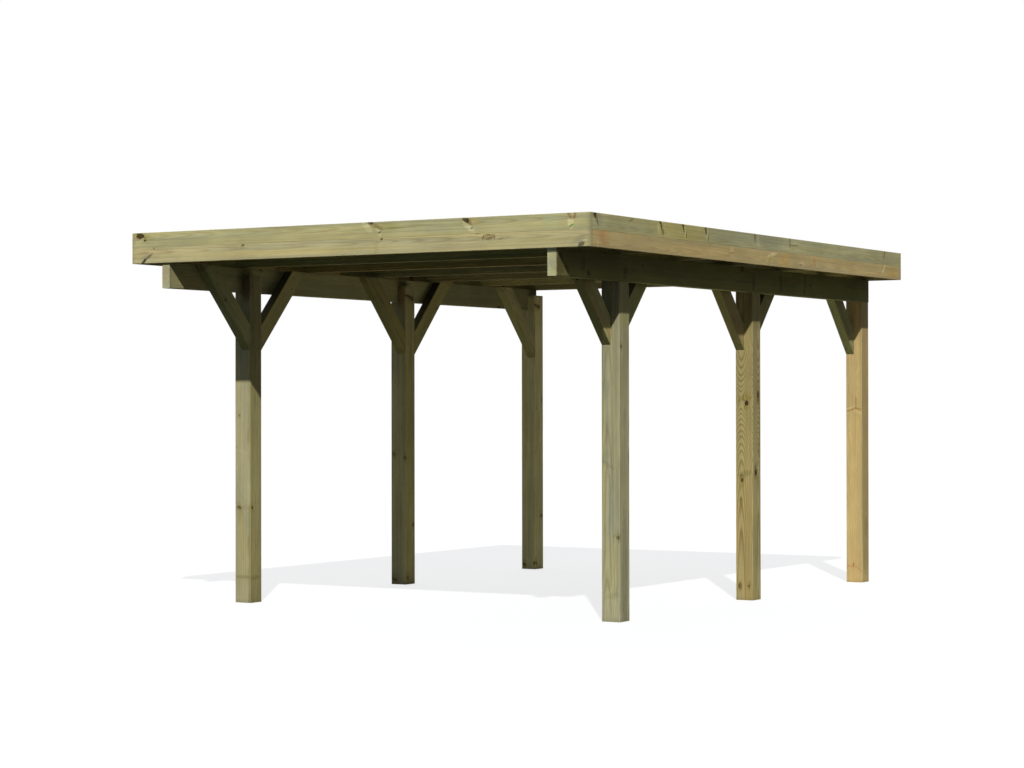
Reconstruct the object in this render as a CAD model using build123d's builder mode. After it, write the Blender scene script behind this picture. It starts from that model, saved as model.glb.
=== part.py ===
from build123d import *
import math
import os

# Timber carport with a flat roof: two rows of posts carry two beams, joists lie across
# the beams, profiled sheets cover the joists and a two-board fascia hides the roof's edge.
# X runs across the bay, Y from the entrance to the back, Z up.  Millimetres.

SIDES = (("left", -1), ("right", 1))
ROWS = ("front", "middle", "rear")
SHEETS = ("left", "middle", "right")
LEVELS = ("lower", "upper")

# Driving dimensions: posts and beams
row_width = 2808          # over the outer faces of the two post rows
post_width = 120          # square section
post_pitch = 1787         # from post to post along a row
clear_height = 1986       # floor to the underside of the beams
tongue_rise = 109         # what is left of the post beside the beam, above its seat
beam_thickness = 58
beam_height = 158
beam_front_overhang = 729
beam_rear_overhang = 6
timber_chamfer = 3

# Driving dimensions: braces
brace_width = 113         # across the brace, seen from the side
brace_drop = 371          # its underside meets the post this far below the beam
brace_reach = 345         # and the beam's underside this far from the post
brace_nose = 4            # level cut that blunts the lower tip
brace_top_gap = 4         # between the upper cut and the joists

# Driving dimensions: roof
joist_thickness = 45
joist_height = 145
joist_count = 7
side_overhang = 208       # of the joists past the beams
rear_drip_gap = 37        # slot behind the beams, where the roof drains
fascia_thickness = 16
fascia_board_height = 95
fascia_drop = 2           # below the underside of the joists
fascia_chamfer = 1.5
spacer_count = 5
spacer_width = 70
spacer_height = 95

# Driving dimensions: profiled roof sheets
sheet_thickness = 1.2
sheet_edge_gap = 6        # to the fascia at the front and the sides
sheet_rear_gap = 25       # to the rear fascia, for the run-off
rib_pitch_wanted = 76
rib_height = 18
rib_crown = 20
rib_flank = 9             # run of a sloping flank, seen from the end
lap_play = 0.5            # under the crown of a lapping rib
lap_spread = 2.4          # which is this much wider at each side than the rib it covers

# Levels
beam_top = clear_height + beam_height
joist_top = beam_top + joist_height
fascia_bottom = beam_top - fascia_drop
post_top = clear_height + tongue_rise

# Across the bay, from the centre line outwards
post_outer = row_width / 2
post_inner = post_outer - post_width
beam_inner = post_outer - beam_thickness
joist_end = post_outer + side_overhang
rib_half = rib_crown / 2 + rib_flank
first_rib = -joist_end + sheet_edge_gap + rib_half
sheet_cover = -2 * first_rib / len(SHEETS)
ribs_per_sheet = round(sheet_cover / rib_pitch_wanted)
rib_pitch = sheet_cover / ribs_per_sheet

# Along the bay, with the roof outline centred on the origin
row_length = (len(ROWS) - 1) * post_pitch + post_width
beam_length = beam_front_overhang + row_length + beam_rear_overhang
roof_length = beam_length + rear_drip_gap + 2 * fascia_thickness
roof_front = -roof_length / 2
roof_rear = roof_length / 2
beam_front = roof_front + fascia_thickness
beam_rear = beam_front + beam_length
first_post_front = beam_front + beam_front_overhang


def save(piece, name):
    """Label a finished piece and write it to its own file."""
    piece.part.label = name
    export_step(piece.part, f"parts/{name}.step")


def front_view(y, side):
    """Upright plane at depth y, its x axis pointing outwards on the given side."""
    return Plane(origin=(0, y, 0), x_dir=(side, 0, 0), z_dir=(0, -side, 0))


def side_view(x, y, way):
    """Upright plane at one side, its x axis pointing forwards (-1) or backwards (1)."""
    return Plane(origin=(x, y, 0), x_dir=(0, way, 0), z_dir=(way, 0, 0))


def make_post(name, side, y):
    """Square post, rebated at the top so that the beam sits flush on its outer half."""
    with BuildPart() as post:
        with BuildSketch(front_view(y, side)):
            with BuildLine():
                Polyline(
                    (post_inner, 0),
                    (post_outer, 0),
                    (post_outer, clear_height),
                    (beam_inner, clear_height),
                    (beam_inner, post_top),
                    (post_inner, post_top),
                    close=True,
                )
            make_face()
        extrude(amount=-side * post_width)
        corners = post.edges().filter_by(Axis.Z).group_by(Axis.X)
        chamfer(corners[0] + corners[-1], timber_chamfer)
    save(post, name)


def make_beam(name, side):
    """Beam on edge, from the front fascia to the back of the rear post."""
    with BuildPart() as beam:
        with BuildSketch(front_view(beam_front, side)):
            with Locations((post_outer - beam_thickness / 2, clear_height + beam_height / 2)):
                Rectangle(beam_thickness, beam_height)
        extrude(amount=-side * beam_length)
        chamfer(beam.edges().filter_by(Axis.Y), timber_chamfer)
    save(beam, name)


def make_brace(name, side, y, way):
    """Knee brace: butts against the post and laps the inner face of the beam."""
    slope = brace_drop / brace_reach
    foot = clear_height - brace_drop
    rise = brace_width * math.hypot(1, slope)
    nose_level = foot + brace_nose * slope
    top = beam_top - brace_top_gap
    with BuildPart() as brace:
        with BuildSketch(side_view(side * post_inner, y, way)):
            with BuildLine():
                Polyline(
                    (0, nose_level),
                    (brace_nose, nose_level),
                    ((top - foot) / slope, top),
                    ((top - foot - rise) / slope, top),
                    (0, foot + rise),
                    close=True,
                )
            make_face()
        extrude(amount=side * way * (post_width - beam_thickness))
        outline = brace.faces().filter_by(Axis.X).edges()
        slanted = outline - outline.filter_by(Axis.Y) - outline.filter_by(Axis.Z)
        chamfer(slanted, timber_chamfer)
    save(brace, name)


def make_joist(name, y):
    """Joist on edge across both beams, centred on depth y."""
    with BuildPart() as joist:
        with BuildSketch(Plane.YZ.offset(-joist_end)):
            with Locations((y, beam_top + joist_height / 2)):
                Rectangle(joist_thickness, joist_height)
        extrude(amount=2 * joist_end)
        chamfer(joist.edges().filter_by(Axis.X), timber_chamfer)
    save(joist, name)


def make_cross_fascia(name, y, way, level):
    """Fascia board across the front (-1) or the rear (1); it covers the side boards' ends."""
    half_width = joist_end + fascia_thickness
    with BuildPart() as board:
        with BuildSketch(side_view(-half_width, y, way)):
            with Locations((fascia_thickness / 2, level + fascia_board_height / 2)):
                Rectangle(fascia_thickness, fascia_board_height)
        extrude(amount=way * 2 * half_width)
        outer_face = board.faces().sort_by(Axis.Y)[0 if way < 0 else -1]
        chamfer(outer_face.edges().filter_by(Axis.X), fascia_chamfer)
    save(board, name)


def make_side_fascia(name, side, level):
    """Fascia board along one side, on the ends of the joists."""
    with BuildPart() as board:
        with BuildSketch(front_view(beam_front, side)):
            with Locations((joist_end + fascia_thickness / 2, level + fascia_board_height / 2)):
                Rectangle(fascia_thickness, fascia_board_height)
        extrude(amount=-side * (roof_length - 2 * fascia_thickness))
        outer_face = board.faces().sort_by(Axis.X)[0 if side < 0 else -1]
        chamfer(outer_face.edges().filter_by(Axis.Y), fascia_chamfer)
    save(board, name)


def make_roof_sheet(name, start, lapped):
    """Profiled sheet; a lapped one begins with a rib that lies over its neighbour's last."""
    crown = rib_crown / 2
    spread = lap_spread if lapped else 0
    lift = sheet_thickness + lap_play if lapped else 0
    points = [(start - rib_half - spread, lift), (start - crown - spread, rib_height + lift)]
    points += [(start + crown + spread, rib_height + lift), (start + rib_half + spread, 0)]
    for rib in range(1, ribs_per_sheet + 1):
        middle = start + rib * rib_pitch
        points += [(middle - rib_half, 0), (middle - crown, rib_height)]
        points += [(middle + crown, rib_height), (middle + rib_half, 0)]
    sheet_front = beam_front + sheet_edge_gap
    sheet_rear = roof_rear - fascia_thickness - sheet_rear_gap
    end_plane = Plane(origin=(0, sheet_front, joist_top), x_dir=(1, 0, 0), z_dir=(0, -1, 0))
    with BuildPart() as sheet:
        with BuildSketch(end_plane):
            with BuildLine():
                Polyline(*points)
                offset(amount=sheet_thickness, side=Side.LEFT, closed=True)
            make_face()
        extrude(amount=-(sheet_rear - sheet_front))
    save(sheet, name)


def make_spacer(name, x):
    """Block between the rear joist and the rear fascia that keeps the drip slot open."""
    with BuildPart() as spacer:
        with BuildSketch(Plane.XZ.offset(-beam_rear)):
            with Locations((x, beam_top + spacer_height / 2)):
                Rectangle(spacer_width, spacer_height)
        extrude(amount=-rear_drip_gap)
    save(spacer, name)


os.makedirs("parts", exist_ok=True)

for side_name, side in SIDES:
    make_beam(f"beam_{side_name}", side)
    for row, row_name in enumerate(ROWS):
        place = f"{side_name}_{row_name}"
        post_front = first_post_front + row * post_pitch
        make_post(f"post_{place}", side, post_front)
        make_brace(f"brace_{place}_fore", side, post_front, -1)
        if row_name != ROWS[-1]:
            make_brace(f"brace_{place}_aft", side, post_front + post_width, 1)
    for board_number, board_name in enumerate(LEVELS):
        level = fascia_bottom + board_number * fascia_board_height
        make_side_fascia(f"fascia_{side_name}_{board_name}", side, level)

for board_number, board_name in enumerate(LEVELS):
    level = fascia_bottom + board_number * fascia_board_height
    make_cross_fascia(f"fascia_front_{board_name}", beam_front, -1, level)
    make_cross_fascia(f"fascia_rear_{board_name}", beam_rear + rear_drip_gap, 1, level)

joist_pitch = (beam_length - joist_thickness) / (joist_count - 1)
for number in range(joist_count):
    make_joist(f"joist_{number + 1}", beam_front + joist_thickness / 2 + number * joist_pitch)

for number, sheet_name in enumerate(SHEETS):
    make_roof_sheet(f"roof_sheet_{sheet_name}", first_rib + number * sheet_cover, number > 0)

spacer_span = 2 * joist_end - spacer_width
for number in range(spacer_count):
    make_spacer(f"rear_spacer_{number + 1}", -spacer_span / 2 + number * spacer_span / (spacer_count - 1))
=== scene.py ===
import math
import random
from types import SimpleNamespace

import bmesh
import bpy
from mathutils import Matrix, Vector


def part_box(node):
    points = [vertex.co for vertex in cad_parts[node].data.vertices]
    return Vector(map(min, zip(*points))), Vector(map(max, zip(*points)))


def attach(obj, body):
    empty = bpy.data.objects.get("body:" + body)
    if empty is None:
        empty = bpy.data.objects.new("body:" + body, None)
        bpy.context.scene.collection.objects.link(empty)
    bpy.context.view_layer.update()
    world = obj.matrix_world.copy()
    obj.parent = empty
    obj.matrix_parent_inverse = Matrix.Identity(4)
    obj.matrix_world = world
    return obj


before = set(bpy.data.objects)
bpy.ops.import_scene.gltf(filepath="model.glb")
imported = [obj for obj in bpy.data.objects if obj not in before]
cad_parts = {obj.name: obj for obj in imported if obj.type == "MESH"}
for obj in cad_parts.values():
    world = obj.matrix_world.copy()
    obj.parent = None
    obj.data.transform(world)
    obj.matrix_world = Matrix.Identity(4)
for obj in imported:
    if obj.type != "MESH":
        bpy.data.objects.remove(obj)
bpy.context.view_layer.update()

# Looks of a timber carport: pressure-treated pine on every post, beam, brace, joist and
# fascia board, coated steel on the roof sheets, and the screws that hold them together.
# Metres, in the row frame: X across the bay, Y from the entrance to the back, Z up.

X, Y, Z = (1, 0, 0), (0, 1, 0), (0, 0, 1)
SIDES = (("left", -1), ("right", 1))
ROWS = ("front", "middle", "rear")
JOISTS = 7
SPACERS = 5

# The braces' lower faces run from the post, this far under the beam, to the beam, this far out
BRACE_DROP = 0.371
BRACE_REACH = 0.345
BRACE_WIDTH = 0.113

# Light: the sun stands behind the camera's right shoulder
SUN_FROM = (0.651, -1.025, 1.0)
SUN_STRENGTH = 3.9
SUN_SOFTNESS = math.radians(0.9)
FILL_FROM = (-0.75, 0.8, 0.45)
FILL_STRENGTH = 1.5
FILL_SOFTNESS = math.radians(80)
SKY = (0.21, 0.24, 0.29, 1)
HORIZON = (0.235, 0.24, 0.245, 1)
HORIZON_TOP = 0.6  # height at which the horizon's colour has gone
SKY_LEAN = (-0.20, -0.26, 0)  # the sky is brighter in front and to the left
WHITE = (1, 1, 1, 1)
BAY_BOUNCE = (0.88, 0.83, 0.65, 1)  # light that the floor throws back under the roof
YARD_BOUNCE = (0.03, 0.03, 0.024, 1)  # and around it
BAY_CENTRE = (0.5, 0.8, 0)
BAY_REACH = (1.6, 1.5)
BAY_BLUR = 0.4
FLOOR_SHOWN = (0.94, 0.94, 0.94, 1)
FLOOR_GLOW = 0.78  # share of plain white in the floor that the camera sees
FLOOR_SIZE = 160

# Camera, at the height of a person's chest: angles in radians, lens in millimetres
CAMERA_PLACE = (8.1775, -13.9023, 1.2928)
CAMERA_YAW = 0.544304
CAMERA_PITCH = 0.006721
CAMERA_ROLL = 0.001468
CAMERA_LENS = 85.283
CAMERA_FAR = 300


def linear(red, green, blue):
    """Linear RGBA of a colour written as it shows, 0 to 255."""
    def channel(value):
        share = value / 255
        return share / 12.92 if share <= 0.04045 else ((share + 0.055) / 1.055) ** 2.4
    return (channel(red), channel(green), channel(blue), 1)


# ---- node helpers

HALVES = (0.5, 0.5, 0.5)  # the middle of a noise's three channels
SPREAD = (0.3, 0.7)  # where most of a noise lies
SMOOTH = (1.0, 0.5)  # detail and roughness of a noise with nothing fine in it


class Value:
    """What a socket carries: a number, or a vector or colour. Sums of them add nodes."""

    def __init__(self, net, socket):
        self.net = net
        self.socket = socket
        self.single = socket.type == "VALUE"

    def __add__(self, other):
        return self.net.join("ADD", self, other)

    def __sub__(self, other):
        return self.net.join("SUBTRACT", self, other)

    def __rsub__(self, other):
        return self.net.join("SUBTRACT", other, self)

    def __mul__(self, other):
        return self.net.join("MULTIPLY", self, other)

    def __truediv__(self, other):
        return self.net.join("DIVIDE", self, other)

    def __abs__(self):
        kind = "Math" if self.single else "VectorMath"
        return self.net.get(0, kind, (self,), operation="ABSOLUTE")

    def math(self, operation, *others):
        return self.net.get(0, "Math", (self, *others), operation=operation)

    def at_least(self, other):
        return self.math("MAXIMUM", other)

    def at_most(self, other):
        return self.math("MINIMUM", other)

    def step(self, low, high, start=0.0, end=1.0):
        """Smooth change from start, where the value is low, to end, where it is high."""
        ends = (self, low, high, start, end)
        return self.net.get(0, "MapRange", ends, interpolation_type="SMOOTHSTEP")

    def ramp(self, stops):
        """The grey of a ramp through these stops, as a number."""
        node = self.net.add("ValToRGB", (self,))
        elements = node.color_ramp.elements
        while len(elements) < len(stops):
            elements.new(0.5)
        for element, (position, level) in zip(elements, stops):
            element.position = position
            element.color = (level, level, level, 1)
        grey = Value(self.net, node.outputs[0])
        grey.single = True
        return grey

    def dot(self, other):
        return self.net.get("Value", "VectorMath", (self, other), operation="DOT_PRODUCT")

    def length(self):
        return self.net.get("Value", "VectorMath", (self,), operation="LENGTH")

    def parts(self):
        node = self.net.add("SeparateXYZ", (self,))
        return [Value(self.net, socket) for socket in node.outputs]

    def noise(self, cells, detail=3.0, roughness=0.6, output="Fac"):
        """Noise with its own number of cells per metre along each axis."""
        settings = {"Vector": self * cells, "Scale": 1.0, "Detail": detail, "Roughness": roughness}
        return self.net.get(output, "TexNoise", settings)

    def tinted(self, amount, tint):
        """A colour multiplied by as much of a tint as the amount says."""
        return self * self.net.mix(amount, WHITE, tint)


class Net:
    """Short calls that add nodes to one node tree."""

    def __init__(self, tree):
        self.tree = tree

    def add(self, kind, inputs=(), **settings):
        """A node with its settings, and its inputs in order or by name: values or constants."""
        prefix = "" if kind.startswith("NodeGroup") else "ShaderNode"
        node = self.tree.nodes.new(prefix + kind)
        for name, value in settings.items():
            setattr(node, name, value)
        pairs = inputs.items() if isinstance(inputs, dict) else enumerate(inputs)
        for key, value in pairs:
            if isinstance(value, Value):
                self.tree.links.new(value.socket, node.inputs[key])
            else:
                node.inputs[key].default_value = value
        return node

    def get(self, output, kind, inputs=(), **settings):
        """One output of a new node."""
        return Value(self, self.add(kind, inputs, **settings).outputs[output])

    def join(self, operation, first, second):
        """Two numbers or two vectors, or a vector times a number."""
        numbers = [value.single if isinstance(value, Value) else isinstance(value, (int, float))
                   for value in (first, second)]
        if numbers == [False, True]:
            return self.get(0, "VectorMath", {0: first, 3: second}, operation="SCALE")
        kind = "Math" if numbers[0] else "VectorMath"
        return self.get(0, kind, (first, second), operation=operation)

    def mix(self, factor, first, second):
        inputs = {0: factor, 6: first, 7: second}
        return self.get(2, "Mix", inputs, data_type="RGBA")

    def group(self, tree, values):
        node = self.add("Group", values, node_tree=tree)
        return [Value(self, socket) for socket in node.outputs]

    def place(self):
        """Where the surface is, in the object's own metres."""
        return self.get("Object", "TexCoord")

    def normal(self):
        return self.get("Normal", "NewGeometry")

    def surface(self, colour, rough, height, relief, specular, metallic=0.0):
        """Shader and output; relief is the strength of the height's bumps and their depth."""
        strength, depth = relief
        bump = self.get(0, "Bump", {"Strength": strength, "Distance": depth, "Height": height})
        shader = self.get(0, "BsdfPrincipled", {
            "Base Color": colour, "Roughness": rough, "Specular IOR Level": specular,
            "Metallic": metallic, "Normal": bump})
        self.add("OutputMaterial", {"Surface": shader})


def bell(height, away, steepness=1.0):
    """A height that flattens out with the distance away."""
    base = away * away * steepness + 1.0
    return height / (base * base)


def emptied(owner):
    """A material or a world with nothing in its node tree, and the helper that fills it."""
    owner.use_nodes = True
    owner.node_tree.nodes.clear()
    return owner, Net(owner.node_tree)


def new_object(name, data):
    added = bpy.data.objects.new(name, data)
    bpy.context.scene.collection.objects.link(added)
    return added


def dress(name, material):
    """Give a CAD node its finish."""
    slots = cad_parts[name].data.materials
    slots.clear()
    slots.append(material)


# ---- pine

KNOT_STATE = ("Float", "near tail pull tone")
NO_KNOTS = (9.0, 9.0, 0.0, 0.0)  # the same four, far from any knot
# A branch is a cone: its thinnest part and its end are shares of its reach
CONE_START = 0.04
CONE_END = 1.35
CONE_FALL = 12.0
# Distances along the grain are squeezed, so that knots and their tails grow longer there
KNOT_STRETCH = (0.72, 1, 1)
TAIL_STRETCH = (0.24, 1, 1)
PULL_STEEPNESS = 0.25
CRUMBLE = 1.1  # how ragged the outlines of knots and marks are
MARK_WAVE = 0.012
MARK_EDGE = (1.35, 0.65)

# Noise cells per metre, along the grain and across it
CLOUDS = (2.6, 6, 6)
BROAD_STREAKS = (0.6, 24, 24)
STREAKS = (1.1, 95, 95)
FIBRES = (16, 420, 420)
CRUMBS = (45, 70, 70)
CRACK_LINES = (0.8, 21, 21)
CRACK_REGIONS = (1.1, 3.5, 3.5)
MARK_WAVES = (38, 38, 38)
MARK_CRUMBS = (60, 160, 160)
WANDER = 4.0  # of the pith line; those along the grain are each board's own
PACE = 45.0  # of good and poor years

# Rings
PACE_SWING = 2.4
TAPER = (0.012, 0, 0)  # the trunk's, which opens the rings into long arches
SWELL_REACH = 0.3  # along the grain, how far the rings bulge round a big whorl
LATE_WOOD = ((0.0, 0.3), (0.14, 0.0), (0.5, 0.1), (0.85, 1.0), (1.0, 0.3))
HEART_SWING = 0.05
HEART_BLUR = 0.008

# Levels of a noise, and how light the wood is there
STREAK_LIGHT = (0.25, 0.75, -0.17, 0.17)
FIBRE_LIGHT = (0.2, 0.8, 0.93, 1.07)
CLOUD_LIGHT = (*SPREAD, 0.9, 1.09)
CRACKED = (0.58, 0.68)
CRACK_WIDTH = (0.0045, 0.0008)
CRACK_DARK = 0.72

# Round a knot, in its own radii
SMEAR_REACH = (2.6, 0.5)
HALO_REACH = (3.2, 1.2)
KNOT_EDGE = (1.15, 0.8)
RIM_WIDTH = (0.35, 0.02)
KNOT_RINGS = 19.0
SMEAR_CRUMBLE = 1.4
# How strong the halo, a knot's rings and its rim are
HALO_GRAIN = 0.9
HALO_LIGHT = 0.1
KNOT_SWING = 0.14
KNOT_LIGHT = 0.95
RIM_BY_TONE = 0.7
RIM_LEAST = 0.12

# Metres from an arris and from a sawn end, and how squarely a sawn face looks along the grain
ARRIS = (0.0055, 0.0015)
ARRIS_WAVE = 0.008
ARRIS_LIGHT = 1.12
SOAKED = 0.03
SOAKED_DARK = 0.16
SAWN = (0.55, 0.8)

# Roughness, and heights beside the fibres' own
WOOD_ROUGH = 0.74
FIBRE_ROUGH = 0.16
KNOT_SMOOTH = 0.12
LATE_HEIGHT = 0.35
CRACK_DEPTH = 2.0

# What the wood's own colour is multiplied by, and what covers it
COOL_STREAK = (0.9, 0.94, 1.04, 1)
WARM_STREAK = (1.1, 1.05, 0.92, 1)
LATE_TINT = (0.60, 0.52, 0.38, 1)
SMEAR_TINT = (0.80, 0.74, 0.66, 1)
SOUND_KNOT = (0.86, 0.78, 0.66, 1)
BLACK_KNOT = (0.10, 0.10, 0.10, 1)
KNOT_RIM = linear(46, 40, 28)
CRACK = linear(48, 40, 26)


def new_group(name, inputs, outputs):
    """Empty node group and what its inputs carry. Sockets are given by kind, in order."""
    tree = bpy.data.node_groups.new(name, "ShaderNodeTree")
    for way, kinds in (("INPUT", inputs), ("OUTPUT", outputs)):
        for kind, names in kinds:
            for socket in names.split():
                tree.interface.new_socket(socket, in_out=way, socket_type="NodeSocket" + kind)
    net = Net(tree)
    sockets = net.add("NodeGroupInput").outputs
    return net, SimpleNamespace(**{socket.name: Value(net, socket) for socket in sockets})


def close_group(net, **results):
    net.add("NodeGroupOutput", results)
    return net.tree


def knot_group():
    """One branch as a cone from its root outwards, added to the knots before it."""
    inputs = (("Vector", "point root axis"), ("Float", "reach radius dark"), KNOT_STATE)
    net, given = new_group("knot", inputs, (KNOT_STATE,))
    offset = given.point - given.root
    along = offset.dot(given.axis)
    aside = offset - given.axis * along
    share = along / given.reach
    size = given.radius * share.at_least(CONE_START)
    past = (share - CONE_END).at_least(0.0) * CONE_FALL
    near = (aside * KNOT_STRETCH).length() / size + past
    tail = (aside * TAIL_STRETCH).length() / size + past
    pull = bell(given.radius, near, PULL_STEEPNESS)
    tone = near.math("LESS_THAN", given.near) * (given.dark - given.tone) + given.tone
    return close_group(net, near=near.at_most(given.near), tail=tail.at_most(given.tail),
                       pull=pull.at_least(given.pull), tone=tone)


def mark_and_shade_group():
    """A stain, scar, pale patch or patch of painted shade or light: a ragged lens round a place, tinting
    the wood under it.
    """
    inputs = (("Color", "colour"), ("Vector", "point place axis"), ("Float", "long wide"),
              ("Color", "tint"), ("Float", "strength"))
    net, given = new_group("mark", inputs, (("Color", "colour"),))
    waves = given.point.noise(MARK_WAVES, *SMOOTH, "Color") - HALVES
    offset = given.point - given.place + waves * given.wide.at_most(MARK_WAVE)
    along = offset.dot(given.axis)
    aside = (offset - given.axis * along).length() / given.wide
    along = along / given.long
    away = (along * along + aside * aside).math("SQRT")
    crumble = given.point.noise(MARK_CRUMBS) - 0.5
    inside = (crumble * CRUMBLE + away).step(*MARK_EDGE)
    return close_group(net, colour=given.colour.tinted(inside * given.strength, given.tint))


def growth_rings(net, given, place):
    """Rings round a pith line that wanders, pushed aside by knots: their radius and the late wood."""
    cells = net.get(0, "CombineXYZ", (given.waver, WANDER, WANDER))
    wander = (place.noise(cells, 2.0, 0.45, "Color") - HALVES) * given.sweep
    across = given.point - given.pith + wander
    radius = (across * (0, 1, 1)).length() + given.point.dot(TAPER) - given.pull
    away = (given.point.dot(X) - given.swell_at) / SWELL_REACH
    radius = radius - bell(given.swell, away)
    settings = {"W": radius, "Scale": PACE, "Detail": 1.0}
    pace = net.get(0, "TexNoise", settings, noise_dimensions="1D")
    age = radius / given.ring + pace * PACE_SWING
    return radius, age.math("FRACT").ramp(LATE_WOOD)


def clear_wood(net, given, place, radius, cloud):
    """Heartwood, which stays tan, and sapwood, which takes the green, in streaks along the grain."""
    core = radius + (cloud - 0.5) * HEART_SWING - given.core
    colour = net.mix(core.step(HEART_BLUR, -HEART_BLUR), given.sap, given.heart)
    broad = place.noise(BROAD_STREAKS, detail=2.0).step(*SPREAD)
    return colour.tinted(given.streaks, net.mix(broad, COOL_STREAK, WARM_STREAK))


def lightness(given, cloud, streak, fibre):
    """How light the wood is, by its streaks, fibres and clouds and by its place along the board."""
    level = streak.step(*STREAK_LIGHT) * given.streaks + 1.0
    level = level * fibre.step(*FIBRE_LIGHT) * cloud.step(*CLOUD_LIGHT)
    return level * (given.point.dot(X) * given.fade + 1.0)


def with_knots(net, given, place, colour, level, late):
    """Brown knots with rings of their own, a dark rim, pale swollen grain and a smear along it."""
    crumble = place.noise(CRUMBS) - 0.5
    ragged = crumble * CRUMBLE + given.near
    inside = ragged.step(*KNOT_EDGE)
    rim = abs(ragged - 1.0).step(*RIM_WIDTH)
    halo = ragged.step(*HALO_REACH) - inside
    smear = (crumble * SMEAR_CRUMBLE + given.tail).step(*SMEAR_REACH)
    colour = colour.tinted(late * given.contrast * (halo * HALO_GRAIN + 1.0), LATE_TINT)
    colour = colour.tinted(smear, SMEAR_TINT) * (halo * HALO_LIGHT + level)
    knot = colour * net.mix(given.tone, SOUND_KNOT, BLACK_KNOT)
    rings = (ragged * KNOT_RINGS).math("SINE") * KNOT_SWING + KNOT_LIGHT
    colour = net.mix(inside, colour, knot * rings)
    return inside, net.mix(rim * (given.tone * RIM_BY_TONE + RIM_LEAST), colour, KNOT_RIM)


def with_cracks(net, given, place, colour):
    """Fine drying cracks along the grain."""
    seam = abs(place.noise(CRACK_LINES, *SMOOTH) - 0.5)
    region = place.noise(CRACK_REGIONS, *SMOOTH).step(*CRACKED)
    crack = (seam.step(*CRACK_WIDTH) * region * given.streaks).at_most(1.0)
    return crack, net.mix(crack * CRACK_DARK, colour, CRACK)


def with_edges(net, given, streak, colour):
    """Arrises rubbed pale, sawn ends and the last centimetres of the faces darker."""
    to_end, to_side, to_face = (given.half - abs(given.point)).parts()
    edge = to_side.at_least(to_face) + (streak - 0.5) * ARRIS_WAVE
    sawn = given.facing.step(*SAWN)
    worn = edge.step(*ARRIS) * (1.0 - sawn) * given.worn
    colour = net.mix(worn, colour, given.sap * ARRIS_LIGHT)
    soaked = to_end.step(SOAKED, 0.0, 0.0, SOAKED_DARK) * (1.0 - sawn)
    return (colour * (1.0 - soaked)).tinted(sawn, given.end_tint)


def pine_group():
    """Pressure-treated pine in three dimensions, with the grain along the point's x axis."""
    inputs = (("Vector", "point half seed pith"), ("Float", "facing"), KNOT_STATE,
              ("Float", "ring sweep waver contrast fade swell swell_at streaks worn"),
              ("Color", "end_tint"), ("Float", "core"), ("Color", "sap heart"))
    net, given = new_group("pine", inputs, (("Color", "colour"), ("Float", "rough height")))
    place = given.point + given.seed
    cloud = place.noise(CLOUDS)
    streak = place.noise(STREAKS, 3.0, 0.65)
    fibre = place.noise(FIBRES, detail=2.0)
    radius, late = growth_rings(net, given, place)
    colour = clear_wood(net, given, place, radius, cloud)
    level = lightness(given, cloud, streak, fibre)
    inside, colour = with_knots(net, given, place, colour, level, late)
    crack, colour = with_cracks(net, given, place, colour)
    return close_group(net, colour=with_edges(net, given, streak, colour),
                       rough=fibre * FIBRE_ROUGH - inside * KNOT_SMOOTH + WOOD_ROUGH,
                       height=late * LATE_HEIGHT + fibre - crack * CRACK_DEPTH)


KNOT = knot_group()
MARK_AND_SHADE = mark_and_shade_group()
PINE = pine_group()


# ---- looks of the timber

# A look is the sapwood and the heartwood as they show in full light, and the heart's radius.
# A pith lies this far across and through the board from its middle. Ordinary knots have a
# spacing and a range of radii.
GRAIN = dict(ring=0.0042, sweep=0.02, waver=1.3, contrast=0.5, fade=0.0, swell=0.0,
             swell_at=0.0, streaks=1.0, worn=0.3)
END_TINT = (1.16, 1.20, 1.45)
PINE_SHEEN = 0.12
PINE_RELIEF = (0.35, 0.0012)
BRANCH_LEAN = 0.3
SEED_RANGE = 40
# Faces that look down or up take painted shade, by how far they tilt
PAINTED_SHADE_TILT = (0.2, 0.6)  # how far up or down a tinted face looks
# Ordinary knots: distances from the ends, and ranges
FIRST_KNOT = 0.1
LAST_KNOT = 0.05
KNOT_DARKNESS = (0.2, 0.9)
KNOT_STEPS = (0.6, 1.4)

POSTS = {  # each with its look, its pith and its own grain
    "left_front": (
        ((164, 158, 122), (142, 136, 95), 0.075), (0.10, 0.0), dict(contrast=0.4, streaks=0.8, fade=0.03)),
    "left_middle": (
        ((158, 155, 114), (166, 157, 110), 0.075), (0.10, 0.0), dict(contrast=0.4, fade=0.08)),
    "left_rear": (
        ((204, 197, 142), (212, 200, 142), 0.075), (0.10, 0.0), dict(contrast=0.4, fade=0.05)),
    "right_front": (
        ((157, 154, 121), (154, 147, 111), 0.05), (-0.02, 0.05),
        dict(contrast=0.55, fade=-0.155, streaks=0.8)),
    "right_middle": (
        ((156, 145, 99), (153, 138, 99), 0.05), (-0.022, 0.024),
        dict(ring=0.0048, sweep=0.012, contrast=1.0, swell=-0.045, swell_at=0.24, streaks=0.6, fade=0.08)),
    "right_rear": (
        ((166, 147, 101), (181, 159, 109), 0.145), (-0.05, -0.16),
        dict(contrast=0.25, ring=0.006, streaks=0.35, fade=0.06)),
}
# The beams' looks carry painted shade: the right beam's side faces are darkened for the shade under the
# fascia, both beams grow darker towards the rear, and the end tints lift the sunlit front ends back up
BEAMS = {
    "left": (((158, 153, 112), (156, 144, 104), 0.05), dict(fade=-0.08, end_tint=(1.29, 1.36, 1.64))),
    "right": (((126, 125, 79), (122, 117, 75), 0.05), dict(fade=-0.06, end_tint=(1.87, 1.92, 2.75))),
}
BEAM_PITH = (0.06, -0.02)
BEAM_KNOTS = (0.6, (0.006, 0.013))
BEAM_GRAIN = dict(contrast=0.3, streaks=0.6, worn=0.1, sheen=0.05)

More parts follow.
